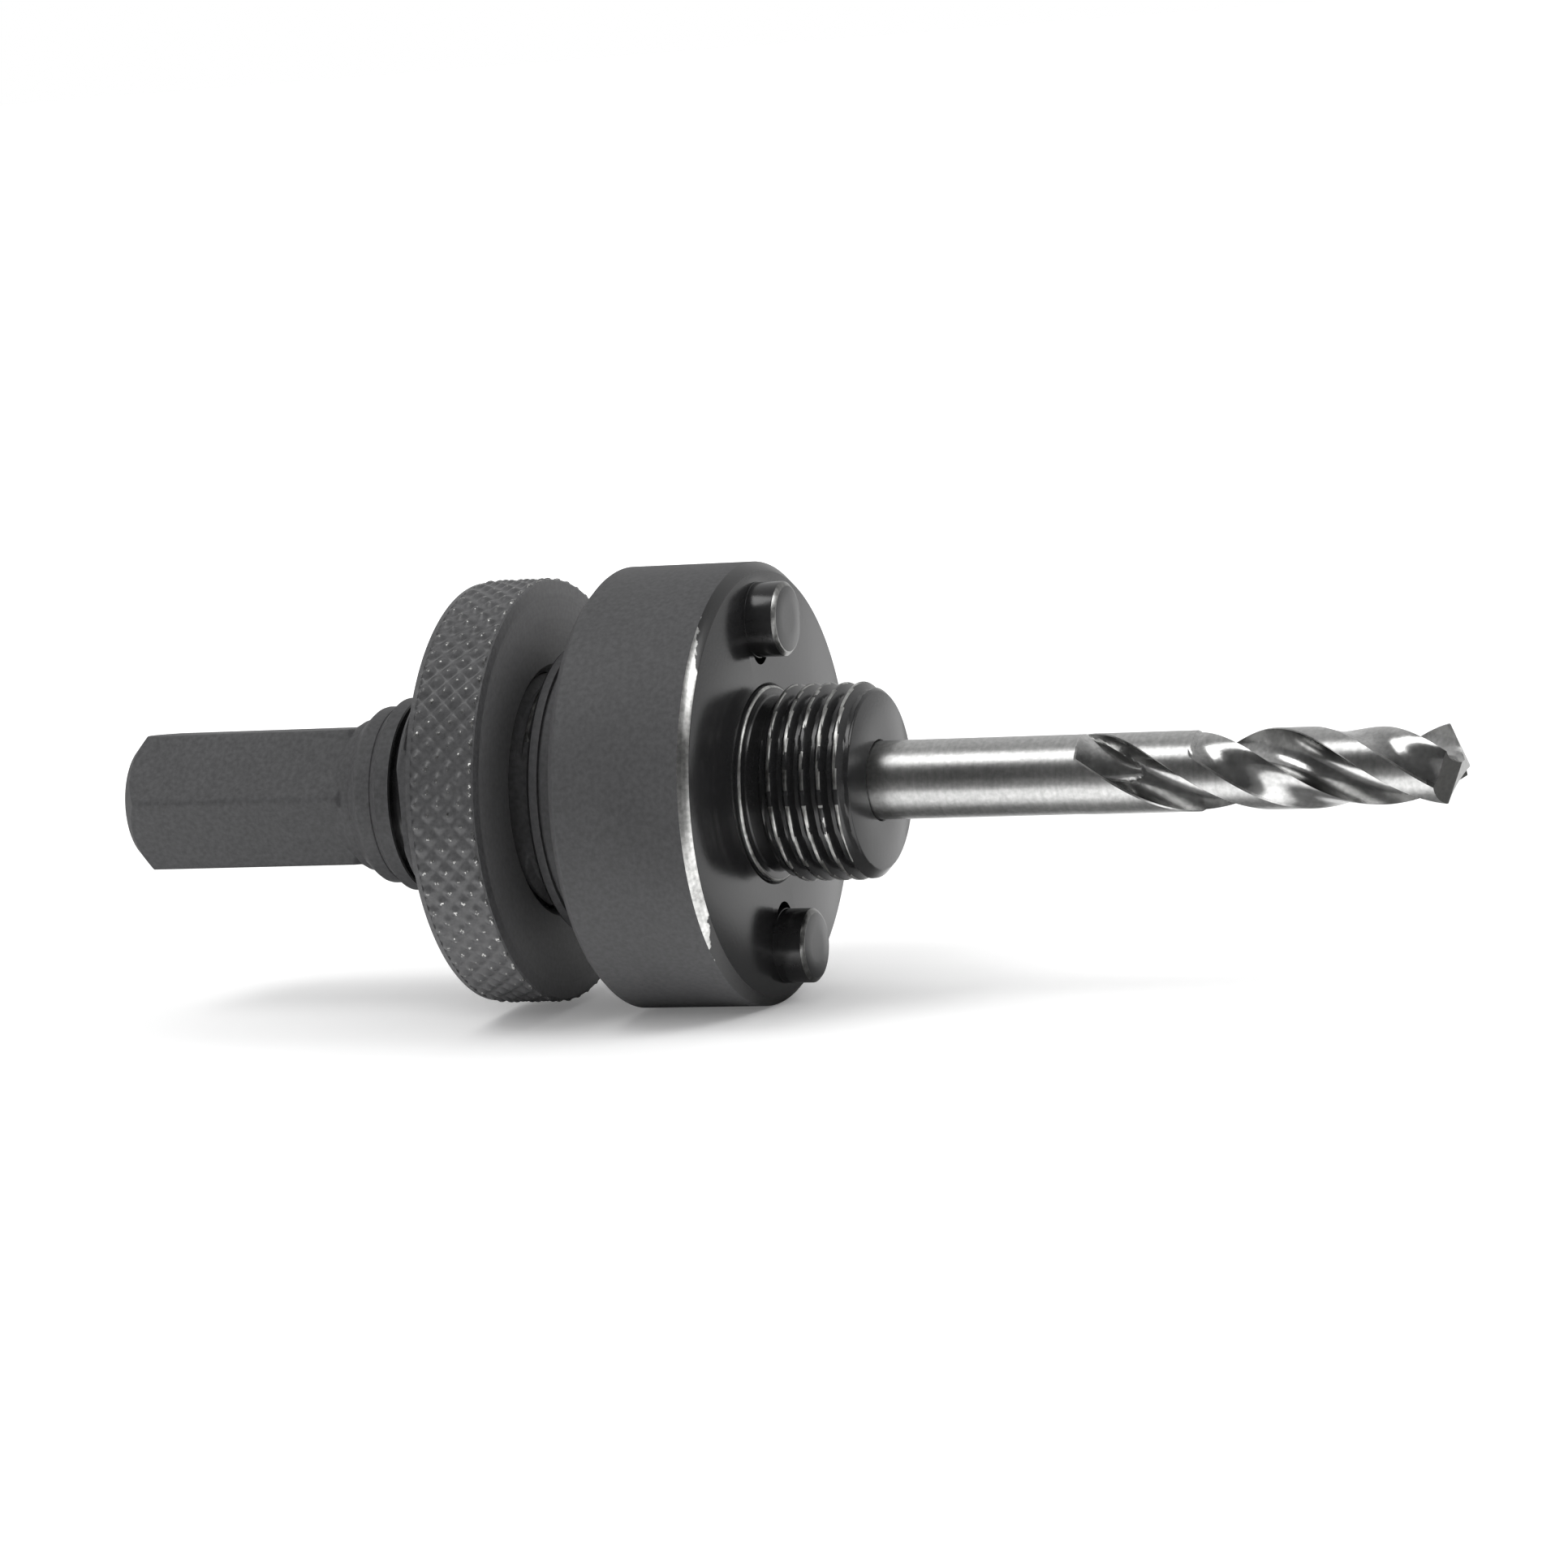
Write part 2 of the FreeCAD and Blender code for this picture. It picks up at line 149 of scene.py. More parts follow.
def millimetres(face):
    """A face's place along the X axis and its distance from that axis, in millimetres."""
    return face.center.x * 1000, math.hypot(face.center.y, face.center.z) * 1000


def inside(x, r, zone):
    """Whether a place is in a zone, which is (from x, to x, beyond r)."""
    return zone[0] < x < zone[1] and r > zone[2]


def add_node(tree, kind, inputs=None, **settings):
    """A shader node. inputs gives each input, by name or number, a value or the socket that feeds it."""
    made = tree.nodes.new("ShaderNode" + kind)
    for key, value in settings.items():
        setattr(made, key, value)
    for key, value in (inputs or {}).items():
        if isinstance(value, bpy.types.NodeSocket):
            tree.links.new(value, made.inputs[key])
        else:
            made.inputs[key].default_value = value
    return made


def maths(tree, operation, *values):
    """The result of a Math node on numbers or sockets."""
    return add_node(tree, "Math", dict(enumerate(values)), operation=operation).outputs[0]


def rescale(tree, value, low, high, from_low=0.0, from_high=1.0):
    """The result of a Map Range node, which turns from_low to from_high into low to high."""
    limits = {"Value": value, "From Min": from_low, "From Max": from_high, "To Min": low, "To Max": high}
    return add_node(tree, "MapRange", limits).outputs[0]


def place_on_axis(tree):
    """Sockets for a point's place, its X, Y and Z, and its distance from the X axis."""
    place = add_node(tree, "TexCoord").outputs["Object"]
    parts = add_node(tree, "SeparateXYZ", {0: place}).outputs
    across = add_node(tree, "CombineXYZ", {1: parts[1], 2: parts[2]}).outputs[0]
    return place, parts, add_node(tree, "VectorMath", {0: across}, operation="LENGTH").outputs["Value"]


def steel(name, colour, rough, metallic=0.0, spec=0.5, patch=0.12, patch_scale=120.0, grain=0.25,
          lines=0.0, line_scale=4000.0, line_bump=0.0):
    """Procedural steel: cloudy tone, fine grain and, where asked, the rings that a lathe tool leaves."""
    grain_scale, grain_bump, bump_height, rough_swing = 2600.0, 0.25, 0.00002, 0.07
    noise_low, noise_high = 0.3, 0.7
    mat = bpy.data.materials.new(name)
    mat.use_nodes = True
    tree = mat.node_tree
    shader = tree.nodes["Principled BSDF"]
    shader.inputs["Metallic"].default_value = metallic
    shader.inputs["Specular IOR Level"].default_value = spec
    place, parts, radius = place_on_axis(tree)
    ring = add_node(tree, "CombineXYZ", {0: parts[0], 1: radius}).outputs[0]
    cloud = add_node(tree, "TexNoise", {"Vector": place, "Scale": patch_scale, "Detail": 4.0}).outputs["Fac"]
    fine = add_node(tree, "TexNoise", {"Vector": place, "Scale": grain_scale, "Detail": 3.0}).outputs["Fac"]
    rings = add_node(tree, "TexNoise", {"Vector": ring, "Scale": line_scale, "Detail": 2.0}).outputs["Fac"]
    tones = [rescale(tree, source, 1 - swing, 1 + swing, noise_low, noise_high)
             for source, swing in ((cloud, patch), (fine, grain), (rings, lines))]
    total = maths(tree, "MULTIPLY", maths(tree, "MULTIPLY", tones[0], tones[1]), tones[2])
    tone = add_node(tree, "VectorMath", {0: colour, "Scale": total}, operation="SCALE").outputs[0]
    tree.links.new(tone, shader.inputs["Base Color"])
    matt = rescale(tree, cloud, rough - rough_swing, rough + rough_swing)
    tree.links.new(matt, shader.inputs["Roughness"])
    surface = {"Height": fine, "Strength": grain_bump, "Distance": bump_height}
    normal = add_node(tree, "Bump", surface).outputs[0]
    if line_bump:
        surface = {"Height": rings, "Strength": line_bump, "Distance": bump_height, "Normal": normal}
        normal = add_node(tree, "Bump", surface).outputs[0]
    tree.links.new(normal, shader.inputs["Normal"])
    return mat


around = np.arange(spindle_sides) * 2 * math.pi / spindle_sides
hex_turn = (np.degrees(around) - hex_clock + 30) % 60 - 30
hexagon = np.minimum(hex_half_flats / np.cos(np.radians(30 - np.abs(hex_turn))), hex_corner_r)
flats = body_half_flats / np.maximum(np.abs(np.cos(around)), 1e-6)
rings = [centre_hole_bottom, (hex_rear, centre_hole_r), (hex_rear, hex_end_r)]
for x in np.linspace(hex_rear, hex_chamfer_front, hex_chamfer_rings)[1:]:
    rings.append((x, np.minimum(hexagon, hex_end_r + x - hex_rear)))
for x in hex_run:
    rings.append((x, hexagon))
for x in np.linspace(flare_x[0], flare_front, flare_rings):
    corners = np.minimum(hexagon, corner_r - max(x - corner_front, 0) * corner_slope)
    rings.append((x, np.maximum(np.interp(x, flare_x, flare_r), corners)))
rings += collar_profile
for x in np.linspace(body_rear, body_front, body_rings):
    r = thread_radius(x, around, body_pitch, body_r, body_root_r, body_crest)
    r = np.minimum(r, body_r - body_lead_in + max(x - body_rear, 0) * lead_in_slope)
    rings.append((x, np.minimum(r, flats)))
for x in journal_run:
    rings.append((x, np.minimum(journal_r, flats)))
rings.append((shoulder_x, np.minimum(shoulder_r, flats)))
rings += nose_base_profile
for x in np.linspace(nose_rear, nose_front, nose_rings):
    r = thread_radius(x, around, nose_pitch, nose_r, nose_root_r, nose_crest)
    r = np.minimum(r, nose_lead_in_r + max(x - nose_lead_in_x, 0) * lead_in_slope)
    rings.append((x, np.minimum(r, nose_end_r + max(nose_end_x - x, 0))))
rings += nose_end_profile
spindle = make_object("Spindle", *rings_mesh(rings, spindle_sides))
cut_out(spindle, *cylinder_mesh(screw_hole_start, (0, 1, 0), screw_hole_r, screw_hole_length))
for finish in (
    steel("Satin black oxide", satin_grey, satin_rough, spec=satin_spec, patch=0.06, grain=0.2),
    steel("Bright black oxide", gloss_grey, gloss_rough, patch=0.2, grain=0.2, lines=0.1, line_bump=0.1),
    steel("Worn crests", crest_grey, 0.33, metallic=1.0, patch=0.6, patch_scale=600.0),
):
    spindle.data.materials.append(finish)
for face in spindle.data.polygons:
    x, r = millimetres(face)
    # Crests are rubbed bare in patches, but not within the band about mid-height, which stays black as
    # painted shade.
    worn_spot_outside_shade = noise.noise(face.center * crest_patches) > crest_limit and abs(face.center.z) > crest_painted_shade_half
    on_crest = inside(x, r, rubbed_nose) or inside(x, r, rubbed_body)
    # Faces ahead of the shoulder take the glossy black finish; the relief groove takes it too, as painted
    # shade.
    if x > shoulder_x or groove_painted_shade[0] < x < groove_painted_shade[1]:
        face.material_index = 1
    if on_crest and worn_spot_outside_shade or inside(x, r, rubbed_foot):
        face.material_index = 2
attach(spindle, "spindle")
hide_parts("spindle")

# Drive plate. A turned disc and hub in one piece, bored to slide on the spindle. Its edges are chamfered,
# and a punch has staked the rim of each pin hole. Blackened, with the front chamfer worn bright in ragged
# patches; the bright wear is kept to a band about mid-height, and the top and bottom of the chamfer stay
# dark as painted shade.

plate_sides, plate_r, chamfer_rear, chamfer_front, chamfer_inner_r = 288, 17.83, -0.745, -0.025, 17.1
bright_depth, hub_end = -3.0, -16.05
plate_profile = [
    (-3.3, 9.6), (-16.35, 9.6), (-16.35, 11.6), (-16.3, 11.72), (-16.2, 11.82), (-16.05, 11.9),
    (-15.36, 11.9), (-15.33, 11.6), (-15.07, 11.6), (-15.04, 11.9), (-12.1, 11.9), (-12.0, 12.0),
    (-12.0, 17.13), (-11.93, 17.24), (-11.4, 17.76), (-11.28, plate_r), (-0.8, plate_r), (-0.74, 17.81),
    (-0.03, 17.12), (0.0, 17.05), (0.0, 8.1), (-0.1, 7.96), (-3.3, 7.96), (-3.3, 9.6),
]
pin_circle_r, pin_r, pin_hole_play = 13.25, 3.0, 0.05
pin_hole_bottom, pin_hole_length, pin_hole_sides = -6.0, 8, 96
stake_r, stake_reach, stake_bottom, stake_length, stake_sides = 1.7, 0.6, -0.9, 3, 64
plate_grey, face_grey, bare_grey = (0.061, 0.061, 0.063), (0.013, 0.013, 0.0135), (0.5, 0.5, 0.49)
# The four numbers on the next line set a band about mid-height, in metres, outside which the front chamfer
# is kept dark as painted shade.
painted_band_middle, painted_band_half, painted_shade_taper, painted_band_cap = 0.0014, 0.0127, 260.0, 1.15
chip_scale, chip_reach, worn_inward, bare_mask_edge = 1100.0, 0.9, 1400.0, (0.35, 0.45)

plate = make_object("Drive_plate", *rings_mesh(plate_profile, plate_sides, capped=False))
for side in (1, -1):
    hole = (pin_hole_bottom, 0, side * pin_circle_r)
    cut_out(plate, *cylinder_mesh(hole, (1, 0, 0), pin_r + pin_hole_play, pin_hole_length, pin_hole_sides))
    stake = (stake_bottom, 0, side * (pin_circle_r - pin_r - stake_reach + stake_r))
    cut_out(plate, *cylinder_mesh(stake, (1, 0, 0), stake_r, stake_length, stake_sides))
chamfer_wear_and_shade = steel("Worn chamfer with painted shade", bare_grey, 0.3, metallic=1.0, patch=0.3, patch_scale=260.0,
                     lines=0.15, line_bump=0.1)
tree = chamfer_wear_and_shade.node_tree
shader = tree.nodes["Principled BSDF"]
place, parts, radius = place_on_axis(tree)
chips = add_node(tree, "TexNoise", {"Vector": place, "Scale": chip_scale, "Detail": 3.0}).outputs["Fac"]
# The chamfer is bare only in a band about mid-height, fading to black above and below as painted shade;
# chips and the fade inward from the rim are wear.
off_middle = maths(tree, "ABSOLUTE", maths(tree, "SUBTRACT", parts[2], painted_band_middle))
width = maths(tree, "MULTIPLY", maths(tree, "SUBTRACT", painted_band_half, off_middle), painted_shade_taper)
width = maths(tree, "MINIMUM", width, painted_band_cap)
ragged = maths(tree, "ADD", width, maths(tree, "MULTIPLY", chips, chip_reach))
inward = maths(tree, "MULTIPLY", maths(tree, "SUBTRACT", plate_r / 1000, radius), worn_inward)
bare = rescale(tree, maths(tree, "SUBTRACT", ragged, inward), 0.0, 1.0, *bare_mask_edge)
metal = shader.inputs["Base Color"].links[0].from_socket
mixed = {"Factor": bare, "A": (*face_grey, 1), "B": metal}
coat = add_node(tree, "Mix", mixed, data_type="RGBA").outputs["Result"]
tree.links.new(coat, shader.inputs["Base Color"])
tree.links.new(bare, shader.inputs["Metallic"])
for finish in (
    steel("Plate satin", plate_grey, satin_rough, spec=satin_spec, patch=0.06, grain=0.15),
    steel("Plate face", face_grey, gloss_rough, patch=0.15, grain=0.1, lines=0.05, line_bump=0.04),
    chamfer_wear_and_shade,
):
    plate.data.materials.append(finish)
for face in plate.data.polygons:
    x, r = millimetres(face)
    if chamfer_rear < x < chamfer_front and chamfer_inner_r < r < plate_r - 0.01:
        face.material_index = 2
    elif x > bright_depth and r < chamfer_inner_r or x < hub_end:
        face.material_index = 1
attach(plate, "drive_plate")
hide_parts("drive_plate")

# Drive pins. Two hardened steel dowels pressed into the plate. They reach into the saw's back and turn it,
# which rubs the edge of each free end.

pin_sides, pin_edge_rear, pin_edge_front = 96, 2.3, 2.59
pin_profile = [
    (-5.5, 3.04), (0.08, 3.04), (0.1, 3.0), (2.25, 3.0), (2.32, 2.98), (2.56, 2.72), (2.6, 2.62), (2.6, 1.2),
]
pin_grey, pin_edge_grey = (0.016, 0.016, 0.0165), (0.22, 0.22, 0.215)
pin_finishes = (
    steel("Pin black oxide", pin_grey, 0.22, patch=0.15, grain=0.1),
    steel("Rubbed pin edge", pin_edge_grey, 0.25, metallic=1.0, patch=0.6, patch_scale=500.0),
)

for side, name in ((1, "upper"), (-1, "lower")):
    points, faces = rings_mesh(pin_profile, pin_sides)
    points[:, 2] += side * pin_circle_r / 1000
    pin = make_object("Drive_pin_" + name, points, faces)
    for finish in pin_finishes:
        pin.data.materials.append(finish)
    for face in pin.data.polygons:
        if pin_edge_rear < face.center.x * 1000 < pin_edge_front:
            face.material_index = 1
    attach(pin, "drive_plate")
    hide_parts("drive_pin_" + name)

# Lock nut. A round nut with a rolled diamond knurl for the fingers. It screws up behind the plate and holds
# it against the saw. Blackened, with some points of the knurl rubbed bright. Its front face, which sits in
# the shaded gap before the plate, has a lighter grey than the knurl as painted light.

nut_r, nut_front, nut_rear, nut_bore_r, nut_rim_r, nut_sharp = 17.25, -18.55, -24.45, 9.6, 15.9, 24
knurl_depth, knurl_count, knurl_steps, knurl_rings, knurl_lead = 0.3, 58, 16, 52, 1.87
knurl_rear, knurl_front, knurl_power, knurl_ridge = nut_rear + 0.5, nut_front - 0.12, 1.5, 0.12
nut_rear_profile = [
    (nut_front - 0.75, nut_bore_r), (nut_rear + 0.7, nut_bore_r), (nut_rear, 10.3), (nut_rear, 16.9),
    (nut_rear + 0.08, 17.05), (nut_rear + 0.45, 17.08),
]
nut_front_profile = [
    (nut_front - 0.1, 17.1), (nut_front, 16.95), (nut_front, nut_rim_r), (nut_front, 10.3),
    (nut_front - 0.7, nut_bore_r), (nut_front - 0.75, nut_bore_r),
]
# The nut face's grey is lighter than the knurl's black oxide, as painted light on a face in shade.
knurl_grey, nut_face_painted_light_grey, rubbed_grey = (0.066, 0.066, 0.068), (0.11, 0.11, 0.112), (0.36, 0.36, 0.35)
rubbed_seed, rubbed_rim, rubbed_rim_share = 7, (nut_front - 0.3, 0.0, nut_r - 0.17), 0.4
rubbed_points_r, rubbed_points_share = nut_r - 0.045, 0.3

nut_sides = knurl_count * knurl_steps
turn = np.arange(nut_sides) / nut_sides * knurl_count
knurl = []
for x in np.linspace(knurl_rear, knurl_front, knurl_rings):
    along = (x - nut_rear) / knurl_lead
    one, two = (np.sin(np.pi * (way % 1.0))**knurl_power for way in (turn + along, turn - along))
    lift = one * (knurl_ridge + (1 - knurl_ridge) * two)
    knurl.append((x, nut_r - knurl_depth + knurl_depth * lift))
nut_rings = nut_rear_profile + knurl + nut_front_profile
nut = make_object("Lock_nut", *rings_mesh(nut_rings, nut_sides, capped=False), nut_sharp)
for finish in (
    steel("Knurl black oxide", knurl_grey, 0.4, patch=0.1, grain=0.2),
    steel("Nut face with painted light", nut_face_painted_light_grey, 0.45, spec=0.25, patch=0.1, grain=0.1, lines=0.05, line_bump=0.04),
    steel("Rubbed points", rubbed_grey, 0.35, metallic=1.0, patch=0.4, patch_scale=700.0),
):
    nut.data.materials.append(finish)
chance = np.random.default_rng(rubbed_seed).random(len(nut.data.polygons))
for face in nut.data.polygons:
    x, r = millimetres(face)
    # Faces inside the rim take the lighter face grey, which is painted light.
    if r < nut_rim_r:
        face.material_index = 1
    elif inside(x, r, rubbed_rim) and chance[face.index] < rubbed_rim_share:
        face.material_index = 2
    elif r > rubbed_points_r and chance[face.index] < rubbed_points_share:
        face.material_index = 2
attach(nut, "lock_nut")
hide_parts("lock_nut")

# Pilot drill. A jobber twist drill of high speed steel, ground bright all over. Its flutes run out into the
# plain shank, each land is relieved behind a narrow margin, and the point is ground in four facets. The
# point facets that face more to the side get a darker grey than those facing forward, as painted shade.

drill_r, drill_tip, flute_start, flute_full, web, land_angle = 3.175, 57.5, 26.6, 32.8, 0.65, 38.0
flute_lead, flute_width, flute_clock, flute_clock_run = 29.6, 72.0, 81.0, 18.4
flute_rings_rear, flute_rings_front, flute_step = 40, 110, 0.25
flute_steps, relief_steps, land_steps = 25, 20, 16
run_out_x, run_out_r = [26.6, 28.4, 30.5, 32.6], [3.17, 2.29, 1.27, 0.3]
heel_drop, body_clearance, clearance_skew = 0.16, 0.4, 1.3
cleared_from, cleared_steps = 36.2, (-0.15, -0.05, 0.05, 0.15)
half_point_angle, point_facets = 67.5, ((12.0, 0.0), (34.0, 0.7))
drill_sides, drill_sharp = 128, 28
drill_shank_profile = [(-32.0, 2.75), (-31.6, 3.145), (26.3, 3.145), (26.62, 3.145), (26.7, 3.0)]
point_rear, point_facing, lip_facing, flute_inner_r = 55, 0.25, 0.85, 3.1
drill_grey, flute_grey = (0.43, 0.43, 0.425), (0.45, 0.45, 0.445)
# The point grey is darker than the lip grey of the same ground steel, as painted shade on the facets that
# face more to the side.
point_painted_shade_grey, lip_grey = (0.15, 0.15, 0.145), (0.42, 0.42, 0.415)


def flute_ring(x):
    """The drill's outline at x, as points in millimetres."""
    cleared = np.interp(x, [cleared_from + cleared_steps[0], cleared_from + cleared_steps[-1]], [0, 1])
    low = drill_r - heel_drop * cleared
    flute_edge = drill_r * math.cos(math.radians(flute_width / 2))
    centre = (drill_r**2 - web**2) / (2 * (flute_edge - web))
    wheel = centre - web
    run = np.interp(x, run_out_x, run_out_r)

    def half(radius):
        return math.degrees(math.acos((radius**2 + centre**2 - wheel**2) / (2 * radius * centre)))

    lip, heel = half(drill_r), half(low)
    first = -math.asin(drill_r * math.sin(math.radians(lip)) / wheel)
    last = math.asin(low * math.sin(math.radians(heel)) / wheel)
    phase = flute_clock + 360 * (x - drill_tip + flute_clock_run) / flute_lead
    hollow = 180 - lip - heel - land_angle
    outline = []
    for flute in (0, 180):
        for bend in np.linspace(first, last, flute_steps):
            inward, across = centre - wheel * math.cos(bend), wheel * math.sin(bend)
            r, a = math.hypot(inward, across), math.degrees(math.atan2(across, inward))
            if r < run:
                r = run
                a = max(-half(run), min(half(run), a))
            outline.append((flute + a, r))
        for step in np.linspace(0, 1, relief_steps)[1:-1]:
            drop = heel_drop * (1 - step) + body_clearance * math.sin(math.pi * step**clearance_skew)
            outline.append((flute + heel + hollow * step, max(drill_r - drop * cleared, run)))
        for step in np.linspace(0, 1, land_steps)[:-1]:
            outline.append((flute + heel + hollow + land_angle * step, drill_r))
    turned = [(math.radians(phase + a), r) for a, r in outline]
    return [(x, r * math.cos(a), r * math.sin(a)) for a, r in turned]


stations = list(np.linspace(flute_start, flute_full, flute_rings_rear))
stations += list(np.linspace(flute_full + flute_step, drill_tip + 1, flute_rings_front))
stations += [cleared_from + step for step in cleared_steps]
outlines = [flute_ring(x) for x in sorted(stations)]
size = len(outlines[0])
faces = [list(range(size))[::-1], [(len(outlines) - 1) * size + i for i in range(size)]]
for i in range(len(outlines) - 1):
    for j in range(size):
        k = (j + 1) % size
        faces.append([i * size + j, i * size + k, (i + 1) * size + k, (i + 1) * size + j])
fluted = bmesh.new()
corners = [fluted.verts.new([c / 1000 for c in p]) for ring in outlines for p in ring]
for face in faces:
    fluted.faces.new([corners[i] for i in face])
tip_clock = flute_clock + 360 * flute_clock_run / flute_lead - flute_width / 2
for half_turn in (0, 180):
    a = math.radians(tip_clock + half_turn)
    lip = Vector((0, math.cos(a), math.sin(a)))
    trail = Vector((0, math.cos(a - math.pi / 2), math.sin(a - math.pi / 2)))
    for clearance, setback in point_facets:
        normal = Vector((1, 0, 0)) + lip / math.tan(math.radians(half_point_angle))
        normal += trail * math.tan(math.radians(clearance))
        spot = (Vector((drill_tip, 0, 0)) + trail * setback) / 1000
        everything = fluted.verts[:] + fluted.edges[:] + fluted.faces[:]
        out = bmesh.ops.bisect_plane(fluted, geom=everything, dist=1e-7, plane_co=spot, plane_no=normal,
                                     clear_outer=True)
        rim = [edge for edge in out["geom_cut"] if isinstance(edge, bmesh.types.BMEdge)]
        bmesh.ops.holes_fill(fluted, edges=rim)
fluted_mesh = bpy.data.meshes.new("Pilot drill")
fluted.to_mesh(fluted_mesh)
fluted.free()
shank_points, shank_faces = rings_mesh(drill_shank_profile, drill_sides)
base = len(fluted_mesh.vertices)
points = [tuple(v.co) for v in fluted_mesh.vertices] + [tuple(p) for p in shank_points]
faces = [list(p.vertices) for p in fluted_mesh.polygons] + [[i + base for i in f] for f in shank_faces]
drill = make_object("Pilot_drill", points, faces, drill_sharp)
for finish in (
    steel("Ground drill steel", drill_grey, 0.31, metallic=1.0, patch=0.05, grain=0.15, lines=0.08,
          line_scale=2500.0, line_bump=0.1),
    steel("Flute steel", flute_grey, 0.2, metallic=1.0, patch=0.25, patch_scale=420.0, grain=0.15),
    steel("Ground point with painted shade", point_painted_shade_grey, 0.3, metallic=1.0, patch=0.1, grain=0.1),
    steel("Ground lip", lip_grey, 0.3, metallic=1.0, patch=0.1, grain=0.1),
):
    drill.data.materials.append(finish)
for face in drill.data.polygons:
    x, r = millimetres(face)
    # Point facets that face more to the side take the darker grey as painted shade; those facing forward
    # take the lip grey.
    if x > point_rear and face.normal.x > point_facing:
        face.material_index = 3 if face.normal.x > lip_facing else 2
    elif x > flute_start and r < flute_inner_r:
        face.material_index = 1
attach(drill, "pilot_drill")
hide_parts("pilot_drill")

# Set screw. A small socket screw of blackened alloy steel, which clamps the drill through one flat of the
# body. The solid has its whole form, so it only gets its finish here.

screw_grey = (0.05, 0.05, 0.052)

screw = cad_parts["set_screw"]
screw.data.materials.clear()
screw.data.materials.append(steel("Screw black oxide", screw_grey, 0.35, patch=0.1))

# Floor. A pale matt sheet under the object, which takes its soft shadow. The camera sees it fade to white.
# Mirrors see a painted reflection on it: a bright strip just in front of the object as painted light, a dim
# band under the object as painted shadow, and dim floor further in front as painted shade.

floor_half, floor_height, floor_tone, fibre_scale = 3, -0.01785, (0.9, 0.94), 900.0
floor_rough, floor_spec, fade_near, fade_far, glow_near, glow_far = 0.9, 0.1, 0.1, 0.6, 0.13, 1.0
mirror_half = 0.1
# Tone of the floor for mirror rays along Y, a painted reflection: a strip at twice the level as painted
# light, a dim band under the object as painted shadow and dim floor further in front as painted shade.
painted_mirror_levels = ((0.1, 0.2), (0.28, 0.25), (0.35, 2.0), (0.44, 2.0), (0.48, 0.3), (0.54, 0.3), (0.6, 1.0))

floor_mesh = bpy.data.meshes.new("Floor")
corners = [(x * floor_half, y * floor_half, floor_height) for x, y in ((-1, -1), (1, -1), (1, 1), (-1, 1))]
floor_mesh.from_pydata(corners, [], [[0, 1, 2, 3]])
floor = bpy.data.objects.new("Floor", floor_mesh)
bpy.context.scene.collection.objects.link(floor)
sheet = bpy.data.materials.new("Pale sheet with painted reflection")
sheet.use_nodes = True
tree = sheet.node_tree
shader = tree.nodes["Principled BSDF"]
place = add_node(tree, "TexCoord").outputs["Object"]
seen = add_node(tree, "LightPath").outputs
fibre = add_node(tree, "TexNoise", {"Vector": place, "Scale": fibre_scale}).outputs["Fac"]
depth = add_node(tree, "SeparateXYZ", {0: place}).outputs[1]
band = add_node(tree, "ValToRGB", {"Fac": rescale(tree, depth, 0.0, 1.0, -mirror_half, mirror_half)})
stops = band.color_ramp.elements
stops.remove(stops[-1])
stops[0].position = painted_mirror_levels[0][0]
for at, level in painted_mirror_levels[1:]:
    stops.new(at)
for stop, (at, level) in zip(stops, painted_mirror_levels):
    stop.color = (level, level, level, 1)
# Mirror rays see the floor's tone times the painted levels; other rays see the plain sheet.
mirrored = add_node(tree, "Mix", {"Factor": seen["Is Glossy Ray"], "A": 1.0, "B": band.outputs["Color"]})
shade = maths(tree, "MULTIPLY", rescale(tree, fibre, *floor_tone), mirrored.outputs[0])
tree.links.new(shade, shader.inputs["Base Color"])
far = add_node(tree, "VectorMath", {0: place}, operation="LENGTH").outputs["Value"]
fade = rescale(tree, far, glow_near, glow_far, fade_near, fade_far)
tree.links.new(maths(tree, "MULTIPLY", fade, seen["Is Camera Ray"]), shader.inputs["Emission Strength"])
shader.inputs["Emission Color"].default_value = (1, 1, 1, 1)
shader.inputs["Roughness"].default_value = floor_rough
shader.inputs["Specular IOR Level"].default_value = floor_spec
floor_mesh.materials.append(sheet)

# Light. A white room that mirrors see dimmer on the viewer's side, and two soft lamps, one above at the
# left and one above at the right.

room_colour, room_level, seen_level = (1, 1, 1, 1), 0.9, 1.0
viewer_side, viewer_blend, mirror_bright, mirror_dim = (0.3, -0.93, 0.15), 0.5, 0.75, 0.08
lamp_places = {"Overhead lamp": (-0.22, -0.25, 0.62), "Right lamp": (0.55, 0.0, 0.43)}
lamp_aim, lamp_size, lamp_power = Vector((0, 0, 0)), 0.3, 1.2

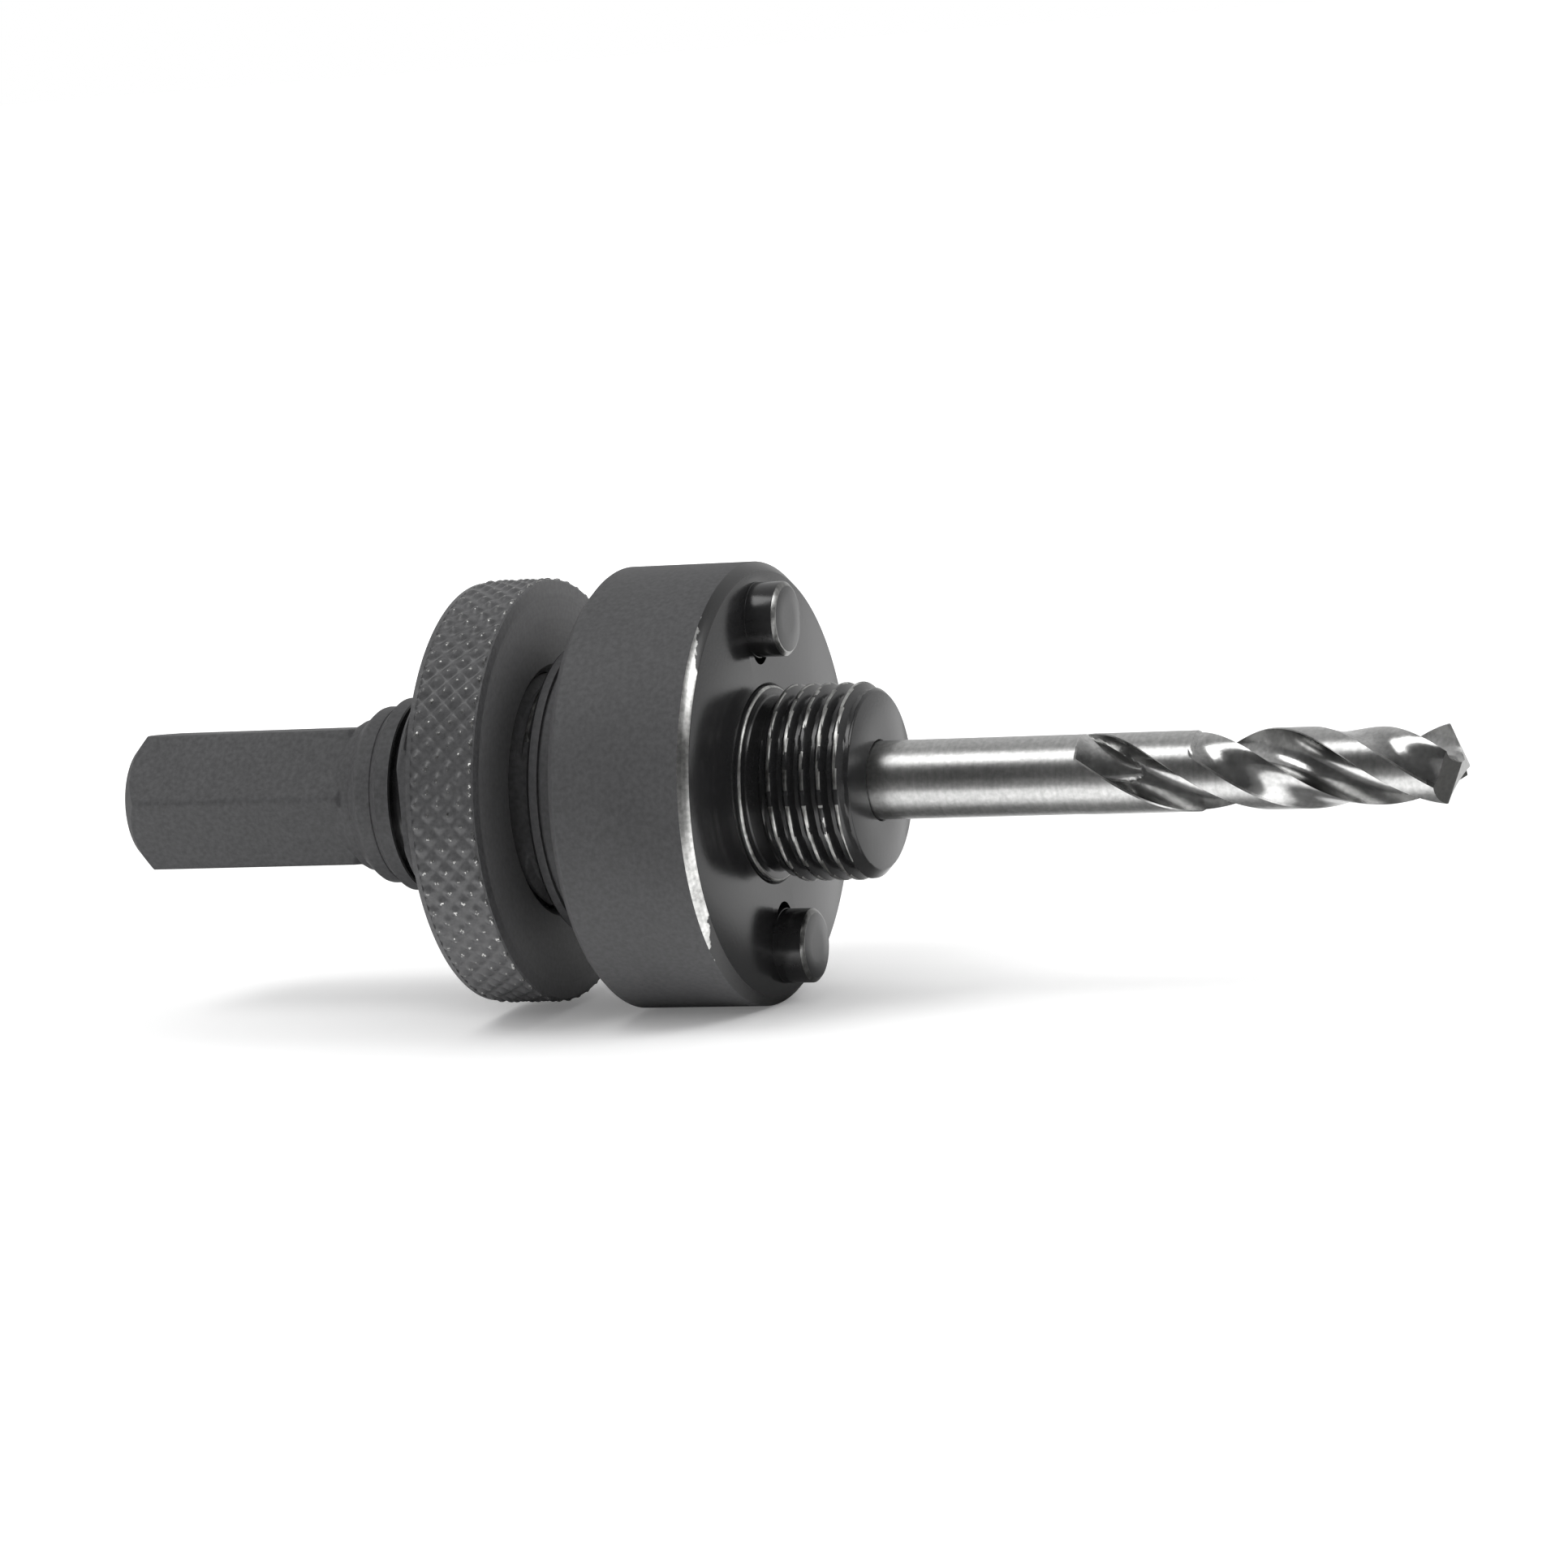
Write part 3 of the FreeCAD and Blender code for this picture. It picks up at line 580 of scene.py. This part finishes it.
world = bpy.data.worlds.new("White room")
bpy.context.scene.world = world
world.use_nodes = True
tree = world.node_tree
tree.nodes.clear()
looking = add_node(tree, "TexCoord").outputs["Generated"]
facing = add_node(tree, "VectorMath", {0: looking, 1: viewer_side}, operation="DOT_PRODUCT").outputs["Value"]
dim = rescale(tree, facing, mirror_bright, mirror_dim, -viewer_blend, viewer_blend)
mirrored, room, white = (add_node(tree, "Background", {"Color": room_colour, "Strength": level}).outputs[0]
                         for level in (dim, room_level, seen_level))
path = add_node(tree, "LightPath").outputs
lit = add_node(tree, "MixShader", {0: path["Is Glossy Ray"], 1: room, 2: mirrored}).outputs[0]
shown = add_node(tree, "MixShader", {0: path["Is Camera Ray"], 1: lit, 2: white}).outputs[0]
add_node(tree, "OutputWorld", {"Surface": shown})

for name, place in lamp_places.items():
    lamp = bpy.data.lights.new(name, "AREA")
    lamp.size = lamp_size
    lamp.energy = lamp_power
    holder = bpy.data.objects.new(name, lamp)
    holder.location = place
    holder.rotation_euler = (lamp_aim - Vector(place)).to_track_quat("-Z", "Y").to_euler()
    bpy.context.scene.collection.objects.link(holder)

# Camera. It stands where the photograph was taken from: in front, to the right and a little above, with a
# slight roll, so that the arbor fills the frame.

camera_swing, camera_climb, camera_roll = (math.radians(angle) for angle in (22.2, 9.0, 1.68))
camera_distance, camera_target, camera_lens, sensor_width = 0.48175, Vector((0.001, 0, 0)), 138, 36
clip_near, clip_far = 0.01, 20

front = math.cos(camera_swing)
sight = Vector((math.sin(camera_swing), -front * math.cos(camera_climb), front * math.sin(camera_climb)))
stand = sight * camera_distance
back = (stand - camera_target).normalized()
along = (Vector((1, 0, 0)) - back * back.x).normalized()
over = back.cross(along)
right = along * math.cos(camera_roll) - over * math.sin(camera_roll)
up = over * math.cos(camera_roll) + along * math.sin(camera_roll)
camera_data = bpy.data.cameras.new("Camera")
camera_data.lens = camera_lens
camera_data.sensor_width = sensor_width
camera_data.clip_start = clip_near
camera_data.clip_end = clip_far
camera = bpy.data.objects.new("Camera", camera_data)
camera.matrix_world = Matrix.Translation(stand) @ Matrix((right, up, back)).transposed().to_4x4()
bpy.context.scene.collection.objects.link(camera)
bpy.context.scene.camera = camera
bpy.context.scene.view_settings.view_transform = "Standard"
